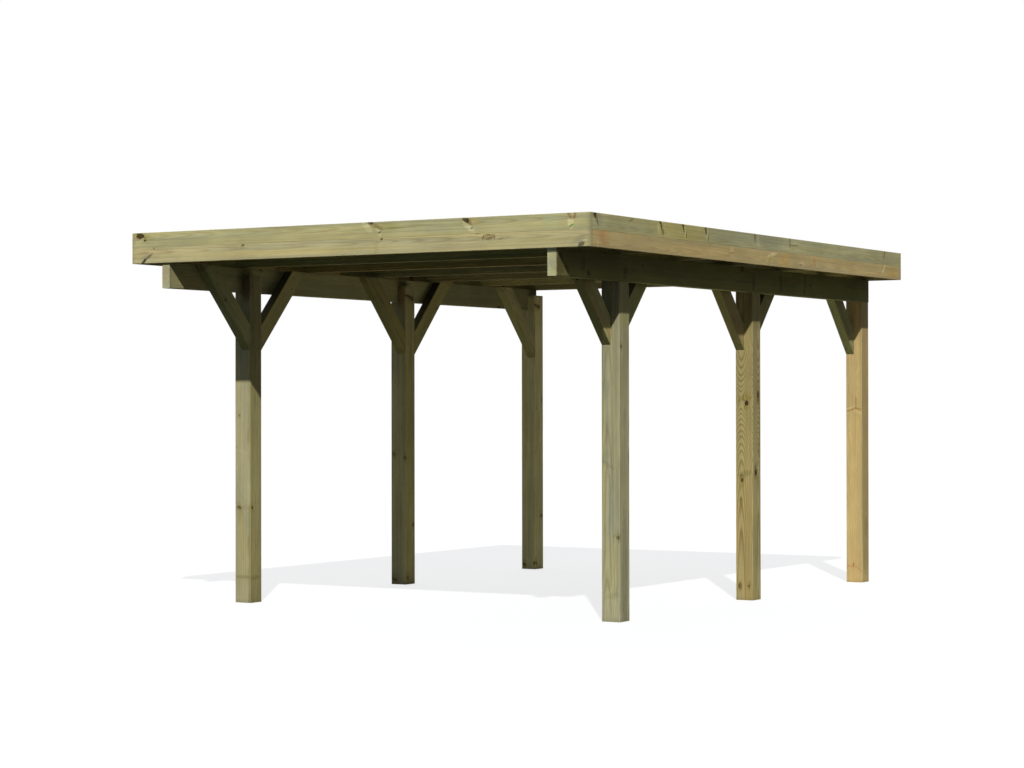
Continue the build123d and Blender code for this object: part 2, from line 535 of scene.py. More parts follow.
BRACE = ((150, 143, 98), (150, 134, 88), 0.05)
# Each brace's tint on the common look is partly its own tone and partly painted light and shade, by where
# it stands under the roof
BRACE_TONE_AND_SHADE = {
    "left_front_fore": (1.08, 1.12, 1.20), "left_front_aft": (1.17, 1.17, 1.16),
    "left_middle_fore": (0.97, 0.96, 0.93), "left_middle_aft": (1.10, 1.09, 1.05),
    "left_rear_fore": (1.17, 1.17, 1.23),
    "right_front_fore": (1.12, 1.13, 1.12), "right_front_aft": (1.03, 1.06, 1.03),
    "right_middle_fore": (1.02, 1.01, 1.03), "right_middle_aft": (0.91, 0.93, 0.95),
    "right_rear_fore": (0.98, 1.02, 1.06),
}
BRACE_HALF = 0.62  # half a brace's length, as a share of its height
BRACE_PITH = (0.08, 0.03)
BRACE_KNOTS = (0.45, (0.002, 0.005))
# The braces' tilt tints are painted shade: a little on the faces that look down, much on those that look
# up under the roof
BRACE_GRAIN = dict(sweep=0.015, contrast=0.35, streaks=0.7, worn=0.1, sheen=0.05,
                   painted_tilt_shades=((0.82, 0.88, 0.78), (0.31, 0.33, 0.48)))

JOIST = ((134, 129, 82), (132, 120, 76), 0.06)
# Each joist's tint, front to rear, is partly its own tone and partly painted light and shade for how much
# light reaches it under the roof
JOIST_TONE_AND_SHADE = ((1.15, 1.15, 1.15), (1.43, 1.47, 1.56), (1.41, 1.37, 1.43), (1.19, 1.20, 1.33),
                (1.20, 1.18, 1.33), (1.46, 1.44, 1.49), (1.28, 1.26, 1.34))
JOIST_PITH = (0.03, 0.11)
JOIST_KNOTS = (0.55, (0.006, 0.014))
# The joists' tilt tint darkens their lower faces: painted shade
JOIST_GRAIN = dict(contrast=0.35, streaks=1.2, worn=0.0, sheen=0.03,
                   painted_tilt_shades=((0.62, 0.60, 0.66), (1, 1, 1)))

CROSS_BOARDS = {"upper": ((174, 168, 122), (176, 158, 111), 0.05),
                "lower": ((179, 169, 123), (179, 159, 114), 0.055)}
SIDE_BOARDS = {"upper": ((176, 170, 125), (178, 160, 114), 0.04),
               "lower": ((175, 161, 114), (182, 163, 114), 0.12)}
FASCIA_PITH = (-0.07, 0.02)
FASCIA_KNOTS = (0.55, (0.006, 0.012))
FASCIA_GRAIN = dict(ring=0.003, sweep=0.016, waver=0.7, end_tint=(1.0, 1.0, 1.04))
CROSS_GRAIN = dict(contrast=0.42, streaks=0.9)
SIDE_GRAIN = dict(contrast=0.32, streaks=0.7)

SPACER = ((152, 147, 104), (150, 136, 92), 0.03)
SPACER_PITH = (0.02, 0.03)

# The next tables are in millimetres and percent. Their first two columns are a place on a
# piece's front face, as x and z, or on its right face, as y and z.
FACES = ("front", "right")
ALONG = (1, 0)
UP = (0, 1)

# Knots that show: place, radius, darkness and, where it isn't the pith, the way to the root
KNOTS = {}
KNOTS["post_right_front", "right"] = ((-1483, 1606, 6, 50),)
KNOTS["post_right_front", "front"] = ((1398, 493, 8, 45),)
KNOTS["post_right_middle", "front"] = (
    (1360, 1273, 11, 90), (1328, 776, 9, 60), (1320, 646, 5, 30), (1309, 90, 8, 40), (1376, 93, 6, 30),
)
KNOTS["post_right_middle", "right"] = ((365, 1326, 14, 70), (334, 822, 12, 100))
KNOTS["post_left_front", "front"] = ((-1371, 610, 6, 40), (-1370, 1197, 3, 20))
KNOTS["post_left_front", "right"] = ((-1481, 607, 6, 70),)
KNOTS["post_left_middle", "right"] = (
    (267, 1545, 8, 40), (286, 890, 7, 40), (265, 427, 9, 30), (375, 414, 9, 50), (315, 43, 8, 50),
    (345, 2018, 8, 80, (0, -100, 25)),
)
KNOTS["post_left_middle", "front"] = ((-1382, 915, 6, 20), (-1373, 34, 8, 50))
KNOTS["post_left_rear", "right"] = (
    (2044, 1544, 8, 40), (2057, 890, 7, 40), (2040, 416, 9, 30), (2162, 406, 9, 50), (2087, 45, 8, 50),
    (2100, 2016, 8, 80, (0, -100, 25)),
)
KNOTS["post_left_rear", "front"] = ((-1383, 35, 8, 50),)
KNOTS["fascia_front_upper", "front"] = (
    (-1560, 2313, 15, 85, (70, 70, -10)), (-1528, 2284, 5, 95, (-30, 70, 30)),
    (160, 2332, 9, 80, (100, 60, -50)), (813, 2322, 11, 75, (-60, 50, 50)),
)
KNOTS["fascia_front_lower", "front"] = (
    (-1456, 2232, 3, 60, (60, 60, 0)), (-768, 2230, 5, 70, (90, 60, 0)), (241, 2230, 4, 90, (60, 60, 0)),
)
KNOTS["fascia_right_lower", "right"] = ((545, 2169, 5, 40),)
KNOTS["fascia_right_upper", "right"] = (
    (-2193, 2322, 9, 100, (20, 10, -60)), (-1425, 2335, 7, 90, (20, 20, -60)),
    (-1135, 2335, 7, 90, (20, 20, -60)), (-832, 2335, 7, 90, (20, 20, -60)),
)

# Stains, scars and pale patches, and painted shade and light where noted: place, direction, half length,
# half width, tint and strength
PALE = (134, 136, 145)
BLACK = (12, 12, 13)
BROWN = (52, 42, 30)
RUST = (102, 74, 62)
GREY = (80, 85, 96)
OLIVE = (84, 86, 66)
TAN = (116, 102, 74)
MARKS_AND_SHADE = {}
MARKS_AND_SHADE["fascia_front_upper", "front"] = (
    (-400, 2285, ALONG, 400, 80, (91, 92, 97), 80),
    (1150, 2285, ALONG, 420, 80, (109, 106, 100), 80),
    (-1500, 2300, (1, -0.3), 45, 18, OLIVE, 70),
    (-1560, 2313, ALONG, 22, 15, (86, 98, 74), 90),
    (-1533, 2303, (1, -0.5), 20, 10, (66, 58, 42), 70),
    (-1575, 2275, (1, 0.3), 35, 14, PALE, 40),
    (140, 2300, (1, -0.9), 45, 18, PALE, 70),
    (195, 2310, (1, -0.45), 55, 13, BROWN, 60),
    (275, 2300, (1, -0.1), 80, 22, OLIVE, 80),
    (215, 2283, (1, -0.3), 20, 9, PALE, 90),
    (225, 2255, (1, -1), 14, 10, PALE, 70),
    (226, 2269, (1, 0.75), 13, 4.5, BLACK, 95),
    (341, 2291, ALONG, 70, 6, BROWN, 35),
    (835, 2283, (1, -0.75), 50, 17, PALE, 100),
    (838, 2303, (1, -0.85), 26, 10, BROWN, 85),
    (880, 2310, (1, -0.6), 45, 14, TAN, 70),
    (860, 2271, (1, 0.9), 9, 5, BLACK, 75),
    (1380, 2290, (0.3, 1), 45, 50, (95, 106, 112), 70),
    (1505, 2283, UP, 40, 20, PALE, 100),
    (1497, 2317, (0.6, -1), 24, 10, (60, 50, 42), 90),
    (1533, 2318, (-0.3, -1), 22, 9, (66, 56, 48), 90),
    (1515, 2308, (0.4, -1), 20, 10, (92, 74, 72), 90),
    (1512, 2263, (1, 0.4), 15, 6.5, (34, 66, 32), 100),
    (1500, 2256, (1, 0.4), 10, 4, BLACK, 50),
)
MARKS_AND_SHADE["fascia_front_lower", "front"] = (
    (-1200, 2190, ALONG, 420, 80, (108, 107, 107), 80),
    (-1537, 2152, (1, 0.85), 26, 11, BLACK, 95),
    (-1500, 2180, (1, 0.62), 40, 9, (40, 40, 38), 90),
    (-1525, 2185, (1, 0.62), 40, 10, GREY, 70),
    (895, 2235.5, ALONG, 18, 2.5, BLACK, 75),
    (935, 2216, (0.3, 1), 18, 5, BROWN, 90),
    (973, 2216, ALONG, 42, 18, (70, 64, 60), 90),
    (968, 2228, ALONG, 18, 4, BROWN, 90),
    (975, 2208, (1, 0.3), 24, 5, BROWN, 70),
    (1008, 2216, (-0.1, 1), 18, 4, BROWN, 80),
    (1053, 2205, (1, 0.2), 18, 4, BROWN, 60),
    (1571, 2154, (1, 0.55), 26, 13, (28, 29, 36), 95),
    (1556, 2180, (1, 0.5), 50, 16, GREY, 90),
    (1592, 2174, (1, 0.2), 16, 6, PALE, 70),
    (200, 2180, (0.2, 1), 35, 16, OLIVE, 50),
)
MARKS_AND_SHADE["fascia_right_upper", "right"] = (
    (-2155, 2290, (0.3, 1), 60, 40, (84, 86, 92), 90),
    (-2166, 2285, (-0.5, 1), 28, 9, BROWN, 90),
    (-1750, 2285, ALONG, 400, 60, (92, 93, 90), 80),
    (-1130, 2285, ALONG, 330, 80, (106, 101, 76), 90),
    (-250, 2285, ALONG, 580, 80, (84, 87, 94), 90),
    (1550, 2262, ALONG, 800, 22, (82, 85, 86), 80),
    (1650, 2285, ALONG, 500, 80, (93, 93, 98), 80),
    (-1435, 2290, (0.15, -1), 40, 20, PALE, 70),
    (-1405, 2305, (0.42, -1), 32, 10, BLACK, 80),
    (-1380, 2268, (-0.15, -1), 18, 10, BROWN, 90),
    (-1105, 2285, (0.25, -1), 36, 14, PALE, 100),
    (-1120, 2306, (0.35, -1), 30, 10, BLACK, 85),
    (-1086, 2268, (-0.15, -1), 20, 7, BROWN, 90),
    (-812, 2282, (0.1, -1), 36, 14, PALE, 100),
    (-826, 2308, (0.3, -1), 26, 11, BLACK, 85),
    (-800, 2266, (-0.1, -1), 22, 8, BROWN, 90),
    (-145, 2308, (0.15, -1), 32, 10, BROWN, 90),
    (-100, 2285, (0.15, -1), 40, 20, PALE, 40),
    (376, 2305, (-0.05, -1), 36, 9, BROWN, 90),
    (440, 2290, ALONG, 60, 6, BROWN, 70),
    (440, 2306, ALONG, 70, 13, PALE, 50),
    (300, 2270, ALONG, 100, 13, PALE, 30),
    (1945, 2308, (-0.35, -1), 36, 10, BROWN, 95),
    (1400, 2300, (1, 0.1), 300, 14, PALE, 35),
)
MARKS_AND_SHADE["fascia_right_lower", "right"] = (
    (-2085, 2205, (0.2, 1), 50, 70, (100, 86, 80), 90),
    (-2105, 2212, (-0.4, 1), 26, 26, RUST, 50),
    (-2159, 2160, (0.1, 1), 30, 6, PALE, 70),
    (-1350, 2225, ALONG, 700, 16, (90, 93, 96), 80),
    (-1150, 2175, ALONG, 500, 22, TAN, 30),
    (-473, 2212, ALONG, 34, 16, PALE, 70),
    (-475, 2195, (1, 0.2), 34, 4, BROWN, 70),
    (-520, 2185, (0.3, 1), 40, 7, (100, 84, 74), 90),
    (105, 2214, (1, 0.2), 65, 10, (150, 160, 180), 95),
    (70, 2185, (0.5, 1), 38, 14, OLIVE, 90),
    (300, 2190, (0.8, 1), 70, 50, (110, 96, 66), 70),
    (270, 2195, (-0.5, 1), 18, 9, RUST, 70),
    (545, 2180, ALONG, 50, 8, PALE, 60),
    (760, 2195, (-0.3, 1), 34, 16, (100, 76, 64), 95),
    (1935, 2205, (0.9, 1), 40, 12, (140, 145, 160), 95),
    (2080, 2185, (0.2, 1), 50, 60, (110, 100, 74), 70),
    (1400, 2200, ALONG, 400, 30, (98, 94, 92), 60),
)
MARKS_AND_SHADE["post_right_front", "right"] = (
    # The first tints the head's face in the roof's shade warmer: painted shade colour
    (-1440, 1880, UP, 180, 60, (110, 108, 82), 80),
    (-1440, 1190, (0.2, 1), 60, 30, (84, 86, 92), 60),
    (-1440, 250, UP, 420, 35, (70, 70, 72), 75),
    (-1395, 1020, UP, 50, 10, PALE, 50),
    (-1395, 970, UP, 50, 8, (60, 60, 66), 70),
)
MARKS_AND_SHADE["post_right_front", "front"] = (
    # The first is painted shade on the post's head between the braces
    (1310, 1890, UP, 170, 50, (74, 79, 77), 80),
    (1355, 660, UP, 200, 42, (88, 92, 102), 80),
    (1298, 720, UP, 450, 12, (109, 107, 92), 80),
    (1300, 1220, UP, 280, 10, (109, 107, 92), 70),
    (1315, 1360, UP, 55, 28, (84, 88, 92), 80),
    (1310, 955, (0.3, 1), 45, 22, (82, 86, 90), 80),
    (1345, 300, UP, 170, 50, (106, 104, 92), 80),
    (1352, 200, (0.25, 1), 75, 6, (116, 114, 106), 80),
    (1330, 915, (1, -0.65), 45, 10, (82, 84, 86), 90),
    (1320, 880, (1, -0.65), 30, 6, (110, 110, 108), 80),
    (1366, 400, (0.12, 1), 70, 6, (113, 111, 102), 90),
    (1373, 290, (-0.15, 1), 70, 6, (113, 111, 102), 90),
    (1320, 700, (0.05, 1), 120, 6, (112, 110, 100), 80),
    (1350, 600, (0.1, 1), 60, 22, (93, 95, 98), 80),
    (1372, 502, ALONG, 18, 8, OLIVE, 80),
    (1360, 153, (1, 0.3), 45, 16, (84, 85, 84), 80),
    (1385, 190, (0.2, 1), 45, 6, (80, 80, 78), 70),
    (1375, 80, UP, 60, 8, (112, 112, 110), 60),
)
MARKS_AND_SHADE["post_right_middle", "front"] = (
    (1332, 1310, (1, 0.9), 45, 14, OLIVE, 80),
    (1385, 1305, (1, 0.3), 24, 12, OLIVE, 90),
    (1350, 1250, (1, 0.2), 45, 10, (106, 106, 90), 70),
    (1345, 815, (1, 0.3), 50, 20, (70, 72, 66), 80),
    (1325, 740, (0.2, 1), 40, 12, OLIVE, 70),
    (1345, 400, UP, 400, 45, (101, 93, 96), 70),
    (1292, 450, UP, 400, 8, TAN, 50),
    (1394, 500, UP, 500, 9, TAN, 40),
)
MARKS_AND_SHADE["post_right_middle", "right"] = (
    # The first darkens the face round the edge of the roof's shadow, partly tone and partly painted shade;
    # the second is painted shade on the post's head
    (335, 1500, UP, 240, 55, (87, 82, 90), 80),
    (340, 1900, UP, 150, 80, (72, 74, 75), 90),
    (345, 500, UP, 460, 45, (87, 94, 90), 80),
    (345, 750, UP, 250, 70, (109, 106, 114), 80),
    (345, 250, UP, 250, 70, (93, 94, 103), 80),
    (365, 1300, (0.1, 1), 50, 18, (55, 50, 46), 70),
    (395, 1050, UP, 220, 10, (55, 56, 42), 70),
    (371, 969, UP, 70, 7, (50, 50, 40), 70),
    (320, 830, (0.2, 1), 50, 16, (60, 60, 50), 80),
)
MARKS_AND_SHADE["post_right_rear", "front"] = (
    (1359, 1280, UP, 45, 4, BROWN, 80),
    (1318, 1222, (1, 0.35), 36, 6, (74, 62, 52), 90),
    (1320, 1236, (1, 0.35), 34, 7, (118, 122, 130), 90),
    (1376, 1230, (1, -0.3), 30, 6, (74, 62, 52), 90),
    (1375, 1206, (1, -0.4), 34, 10, (116, 120, 128), 80),
    (1352, 1050, UP, 160, 10, (96, 88, 76), 70),
    (1375, 1500, (0.5, 1), 40, 10, (112, 114, 114), 80),
    (1345, 100, UP, 150, 60, (95, 92, 93), 80),
    (1330, 112, (1, -0.1), 45, 5, (94, 70, 58), 90),
    (1386, 90, (1, -0.6), 22, 5, (94, 70, 58), 90),
    (1342, 85, UP, 50, 4, (94, 74, 62), 80),
    (1337, 128, UP, 12, 5, BROWN, 90),
)
MARKS_AND_SHADE["post_right_rear", "right"] = (
    (2140, 395, UP, 70, 24, (80, 80, 72), 90),
    (2130, 170, UP, 100, 50, (86, 90, 86), 80),
    (2165, 1000, UP, 100, 12, (86, 84, 80), 60),
    (2130, 550, UP, 550, 70, (85, 87, 88), 80),
)
# Painted shade on the lower part of this face, which stands in the roof's shade
MARKS_AND_SHADE["post_left_rear", "right"] = ((2130, 350, UP, 450, 70, (90, 91, 90), 90),)
MARKS_AND_SHADE["post_left_middle", "front"] = (
    # The first two lighten this face in the roof's shade: painted light. The last is painted shade on the
    # head's face between the brace and the beam
    (-1350, 1220, UP, 240, 55, (113, 110, 110), 90),
    (-1350, 1150, UP, 800, 52, (122, 119, 112), 80),
    (-1344, 300, UP, 360, 45, (78, 80, 90), 80),
    (-1315, 2020, UP, 90, 40, (108, 80, 78), 80),
)
MARKS_AND_SHADE["post_left_middle", "right"] = (
    # Painted shade and light on this face, which stands in the roof's shade: darker at mid height and
    # above, lighter near the floor
    (343, 780, UP, 240, 70, (90, 91, 88), 90),
    (343, 1150, UP, 550, 70, (89, 90, 82), 80),
    (343, 250, UP, 280, 70, (108, 110, 108), 80),
)
MARKS_AND_SHADE["post_left_front", "front"] = (
    (-1345, 165, ALONG, 60, 12, (74, 72, 62), 80),
    # The next two are painted shade: on the head's face between the brace and the beam, and on the face
    # under the roof's edge
    (-1315, 2020, UP, 90, 40, (61, 50, 54), 90),
    (-1344, 1730, UP, 250, 65, (80, 88, 94), 80),
    (-1350, 300, UP, 300, 50, (97, 93, 80), 80),
    (-1365, 420, UP, 160, 20, (106, 101, 92), 80),
    (-1318, 330, (0.05, 1), 140, 12, (106, 103, 95), 80),
    (-1330, 610, (1, 0.1), 60, 14, (86, 88, 86), 70),
    (-1344, 965, (1, -0.3), 60, 5, (112, 114, 118), 70),
    (-1365, 565, (0.2, 1), 50, 16, OLIVE, 50),
)
MARKS_AND_SHADE["post_left_front", "right"] = (
    (-1444, 800, UP, 850, 70, (109, 108, 106), 80),
    (-1450, 160, ALONG, 50, 14, (74, 72, 62), 80),
    (-1444, 270, UP, 250, 70, (109, 107, 103), 90),
)
MARKS_AND_SHADE["beam_left", "right"] = (
    # Painted shade on this face, which looks into the bay under the roof
    (-2100, 2065, ALONG, 250, 100, (74, 73, 70), 90),
    (1200, 2040, ALONG, 500, 100, (86, 88, 92), 90),
)
MARKS_AND_SHADE["beam_right", "right"] = (
    (300, 2050, (0.1, 1), 60, 26, (60, 54, 50), 60),
    (721, 2080, (-0.15, 1), 50, 18, (42, 38, 36), 70),
    (715, 2020, (0.35, 1), 30, 16, (55, 52, 50), 60),
    (1104, 2085, (-0.1, 1), 45, 20, (42, 38, 36), 70),
    (1090, 2020, (0.3, 1), 30, 18, (50, 46, 44), 60),
    (-1430, 2035, (0.2, 1), 36, 22, (45, 42, 40), 70),
    (-1930, 2060, UP, 50, 24, (66, 62, 58), 60),
    # The next two darken the sunlit patch near the front end: painted shade
    (-2190, 2035, UP, 85, 34, (50, 46, 42), 100),
    (-2130, 2010, UP, 50, 34, (50, 46, 42), 90),
)
MARKS_AND_SHADE["beam_right", "front"] = (
    # Painted shadow of the fascia across the top of the end, and above it painted blue sky light in the
    # shade
    (1375, 2124, ALONG, 60, 8, (16, 17, 23), 95),
    (1375, 2139, ALONG, 60, 6, (150, 160, 240), 90),
)


# ---- timber


class Board:
    """A timber piece: where its middle is, how its grain runs and where its pith lies."""

    def __init__(self, name, along, across, pith, way=1):
        low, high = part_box(name)
        self.name = name
        self.faces = {"front": low.y, "right": high.x}
        self.centre = (low + high) / 2
        along, across = Vector(along).normalized(), Vector(across).normalized()
        self.axes = (along, across, along.cross(across))
        size = high - low
        self.half = Vector([sum(abs(axis[i]) * size[i] for i in range(3)) / 2 for axis in self.axes])
        self.pith = Vector((0, pith[0] * way, pith[1]))

    def turned(self, direction):
        """A direction along the board's own axes."""
        return Vector([direction.dot(axis) for axis in self.axes])

    def local(self, place):
        """A place along the board's own axes, from its middle."""
        return self.turned(place - self.centre)

    def root(self, tip):
        """Where the branch that ends at a local point leaves the pith."""
        depth = math.hypot(tip.y - self.pith.y, tip.z - self.pith.z)
        return Vector((tip.x - BRANCH_LEAN * depth, self.pith.y, self.pith.z))


def on_face(face, across, up, depth=0):
    """Three coordinates for two on a front or a right face at this depth."""
    return Vector((across, depth, up) if face == "front" else (depth, across, up))


def shown_on(board, table):
    """A board's rows in a table, each with its face and its place in metres."""
    for face in FACES:
        for across, up, *row in table.get((board.name, face), ()):
            yield face, on_face(face, across / 1000, up / 1000, board.faces[face]), row


def shown_knots(board):
    """The knots that the table places on a board, as root, tip, radius and darkness."""
    found = []
    for _, place, (radius, dark, *towards) in shown_on(board, KNOTS):
        tip = board.local(place)
        root = board.local(place + Vector(towards[0]) / 1000) if towards else board.root(tip)
        found.append((root, tip, radius / 1000, dark / 100))
    return found


def scattered(board, spacing, radii):
    """Ordinary knots along a board."""
    rng = random.Random(board.name)
    found = []
    place = -board.half.x + rng.uniform(FIRST_KNOT, spacing)
    while place < board.half.x - LAST_KNOT:
        tip = Vector((place, rng.uniform(-1, 1) * board.half.y, rng.uniform(-1, 1) * board.half.z))
        found.append((board.root(tip), tip, rng.uniform(*radii), rng.uniform(*KNOT_DARKNESS)))
        place += rng.uniform(*KNOT_STEPS) * spacing
    return found


def painted_tilt_shade(colour, normal, below, above):
    """Painted shade: darken the faces that look down and those that look up by their own tints."""
    up = normal.dot(Z)
    start, end = PAINTED_SHADE_TILT
    for low, high, tint in ((-start, -end, below), (start, end, above)):
        colour = colour.tinted(up.step(low, high), (*tint, 1))
    return colour


def with_marks_and_shade(net, colour, point, board):
    """Add the marks and the painted shade that the table places on a board."""
    for face, place, (direction, long, wide, tint, strength) in shown_on(board, MARKS_AND_SHADE):
        axis = board.turned(on_face(face, *direction)).normalized()
        tint = [share / 100 for share in tint]
        values = (colour, point, board.local(place), axis, long / 1000, wide / 1000,
                  (*tint, 1), strength / 100)
        colour = net.group(MARK_AND_SHADE, values)[0]
    return colour


def timber(board, look, knots, end_tint=END_TINT, sheen=PINE_SHEEN, painted_tilt_shades=None, **grain):
    """Give a board its own pine; grain replaces any of the usual values."""
    rng = random.Random("grain " + board.name)
    seed = Vector([rng.uniform(-SEED_RANGE, SEED_RANGE) for _ in range(3)])
    material, net = emptied(bpy.data.materials.new("pine_" + board.name))
    offset = net.place() - board.centre
    point = net.get(0, "CombineXYZ", [offset.dot(axis) for axis in board.axes])
    normal = net.normal()
    facing = abs(normal.dot(board.axes[0]))
    state = NO_KNOTS
    for root, tip, radius, dark in knots:
        axis = tip - root
        state = net.group(KNOT, (point, root, axis.normalized(), axis.length, radius, dark, *state))
    sap, heart, core = look
    values = (point, board.half, seed, board.pith, facing, *state, *(GRAIN | grain).values(),
              (*end_tint, 1), core, linear(*sap), linear(*heart))
    colour, rough, height = net.group(PINE, values)
    # Painted shade on the faces that look down or up
    if painted_tilt_shades:
        colour = painted_tilt_shade(colour, normal, *painted_tilt_shades)
    net.surface(with_marks_and_shade(net, colour, point, board), rough, height, PINE_RELIEF, sheen)
    dress(board.name, material)


def shaded(look, shade):
    """The same timber tinted lighter or darker, for its own tone and for painted light and shade."""
    sap, heart, core = look
    return [a * b for a, b in zip(sap, shade)], [a * b for a, b in zip(heart, shade)], core


def braces():
    """Every brace: its place, its side and row, which way its side lies and which way it leans."""
    for side, way in SIDES:
        for row in ROWS:
            for name, tilt in (("fore", -1), ("aft", 1)):
                place = f"{side}_{row}_{name}"
                if place in BRACE_TONE_AND_SHADE:
                    yield place, side, row, way, tilt


def dress_posts():
    for place, (look, pith, grain) in POSTS.items():
        board = Board("post_" + place, Z, X, pith)
        timber(board, look, shown_knots(board), **grain)


def dress_beams():
    for side, way in SIDES:
        look, grain = BEAMS[side]
        board = Board("beam_" + side, Y, X, BEAM_PITH, way)
        timber(board, look, scattered(board, *BEAM_KNOTS), **BEAM_GRAIN, **grain)


def dress_braces():
    for place, _, _, way, tilt in braces():
        node = "brace_" + place
        low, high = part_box(node)
        board = Board(node, (0, tilt * BRACE_REACH, BRACE_DROP), X, BRACE_PITH, way)
        half_length = (high.z - low.z) * BRACE_HALF
        board.half = Vector((half_length, (high.x - low.x) / 2, BRACE_WIDTH / 2))
        look = shaded(BRACE, BRACE_TONE_AND_SHADE[place])
        timber(board, look, scattered(board, *BRACE_KNOTS), **BRACE_GRAIN)


def dress_joists():
    for number, shade in enumerate(JOIST_TONE_AND_SHADE, 1):
        board = Board(f"joist_{number}", X, Y, JOIST_PITH, (-1) ** number)
        timber(board, shaded(JOIST, shade), scattered(board, *JOIST_KNOTS), **JOIST_GRAIN)


def dress_fascia():
    """The rear and left boards, which don't show, repeat the others with ordinary knots."""
    for level in ("upper", "lower"):
        for side, way in (("front", -1), ("rear", 1), *SIDES):
            cross = side in ("front", "rear")
            along, across = (X, Y) if cross else (Y, X)
            board = Board(f"fascia_{side}_{level}", along, across, FASCIA_PITH, way)
            look = (CROSS_BOARDS if cross else SIDE_BOARDS)[level]
            grain = FASCIA_GRAIN | (CROSS_GRAIN if cross else SIDE_GRAIN)
            timber(board, look, shown_knots(board) or scattered(board, *FASCIA_KNOTS), **grain)


def dress_spacers():
    for number in range(1, SPACERS + 1):
        timber(Board(f"rear_spacer_{number}", Z, X, SPACER_PITH), SPACER, ())


dress_posts()
dress_beams()
dress_braces()
dress_joists()
dress_fascia()
dress_spacers()


# ---- roof sheets

STEEL_DARK = linear(92, 98, 92)
STEEL_PALE = linear(104, 108, 100)
DUST = linear(150, 146, 128)
STEEL_RELIEF = (0.12, 0.0004)
STEEL_SHEEN = 0.35
DUST_STREAKS = (70, 1.2, 1)  # noise cells per metre, as are the next two
STEEL_PATCHES = (2.5, 2.5, 2.5)
STEEL_SPECKS = (900, 900, 900)
SPECK_LIGHT = (*SPREAD, 0.93, 1.07)
SPECK_ROUGH = (*SPREAD, 0.42, 0.52)
# Dust lies where all three are high; a slope is how far a face looks up
DUSTY_STREAKS = (0.42, 0.72)
DUSTY_PATCHES = (0.35, 0.7)
DUSTY_SLOPES = (0.2, 0.95)
DUST_COVER = 0.5
DUST_ROUGH = 0.25


def coated_steel():
    """Matt coated steel with dust that the rain has drawn into streaks down the fall."""
    material, net = emptied(bpy.data.materials.new("coated_steel"))
    place = net.place()
    upward = net.normal().dot(Z).step(*DUSTY_SLOPES)
    streaks = place.noise(DUST_STREAKS, detail=4.0)
    patches = place.noise(STEEL_PATCHES, detail=4.0)
    specks = place.noise(STEEL_SPECKS, *SMOOTH)
    dust = streaks.step(*DUSTY_STREAKS) * patches.step(*DUSTY_PATCHES) * upward
    colour = net.mix(patches.step(*SPREAD), STEEL_DARK, STEEL_PALE)
    colour = net.mix(dust * DUST_COVER, colour * specks.step(*SPECK_LIGHT), DUST)
    rough = specks.step(*SPECK_ROUGH) + dust * DUST_ROUGH
    net.surface(colour, rough, specks, STEEL_RELIEF, STEEL_SHEEN)
    return material


sheet_finish = coated_steel()
for sheet in ("left", "middle", "right"):
    dress("roof_sheet_" + sheet, sheet_finish)


# ---- screws

# Outlines as (radius, height above the surface), turned about the screw's axis
COUNTERSUNK = ((0.002, -0.012), (0.002, -0.004), (0.0064, -0.0003), (0.0066, 0.0001), (0.0062, 0.0004))
DRIVE = ((0.0030, 0.0004), (0.0026, -0.0014), (0.0, -0.0018))
DRIVE_POINTS = 6
DRIVE_SWING = 0.22
SEAL = ((0.0082, 0.0), (0.0088, 0.0010), (0.0082, 0.0020), (0.0, 0.0021))
WASHER = ((0.0026, -0.022), (0.0026, 0.0018), (0.0090, 0.0018), (0.0094, 0.0028), (0.0090, 0.0036),
          (0.0060, 0.0042), (0.0, 0.0043))
HEXAGON = ((0.0046, 0.0040), (0.0047, 0.0088), (0.0040, 0.0097), (0.0, 0.0099))
# The parts of each screw: an outline, its number of sides and its drive
WOOD_SCREW = ((COUNTERSUNK, 24, DRIVE),)
ROOFING_SEAL = ((SEAL, 18),)
ROOFING_SCREW = ((WASHER, 18), (HEXAGON, 6))

ROOF_CROWNS = (0, 4, 7, 11, 14, 18, 21, 25, 28, 32, 35, 39, 42)
CROWNS_PER_SHEET = 14
RIB_HALF = 0.019
POST_SCREWS = ((-0.03, 0.075), (0.03, 0.029))  # along the beam, and below the post's top
BRACE_TAIL_SCREW = 0.055  # up the brace's lower face from the post
BRACE_HEAD_SCREWS = ((0.525, 0.035), (0.590, 0.075))  # up the lower face, and in from it
JOIST_SCREW_ASIDE = 0.012  # from the beam's middle
JOIST_SCREW_RISE = 0.032
JOIST_SCREW_SKEW = 0.35

SCREW_SHEEN = 0.3
SCREW_RELIEF = (0.2, 0.0002)
SCREW_CLOUDS = (120, 120, 120)
SCREW_GRAIN = (1500, 1500, 1500)
SCREW_TONES = (0.35, 0.65)
SCREW_LIGHT = (*SPREAD, 0.9, 1.08)
SCREW_ROUGH = 0.2


def turn(mesh, place, normal, outline, sides, drive=()):
    """A closed solid of revolution, ending in the six-pointed rings of a drive if there is one."""
    axis = Vector(normal).normalized()
    sideways = axis.orthogonal().normalized()
    forward = axis.cross(sideways)
    rings = []
    for radius, height in outline + drive:
        centre = Vector(place) + axis * height
        if radius == 0:
            rings.append([mesh.verts.new(centre)])
            continue
        swing = DRIVE_SWING if (radius, height) in drive else 0
        ring = []
        for side in range(sides):
            angle = side * math.tau / sides
            reach = radius * (1 + swing * math.cos(DRIVE_POINTS * angle))
            spoke = math.cos(angle) * sideways + math.sin(angle) * forward
            ring.append(mesh.verts.new(centre + reach * spoke))
        rings.append(ring)
    skin(mesh, rings)


def skin(mesh, rings):
    """Close the first ring and join each ring to the next, or to a single point."""
    mesh.faces.new(list(reversed(rings[0])))
    for first, second in zip(rings, rings[1:]):
        for side in range(len(first)):
            after = (side + 1) % len(first)
            beyond = second if len(second) == 1 else (second[after], second[side])
            mesh.faces.new((first[side], first[after], *beyond))


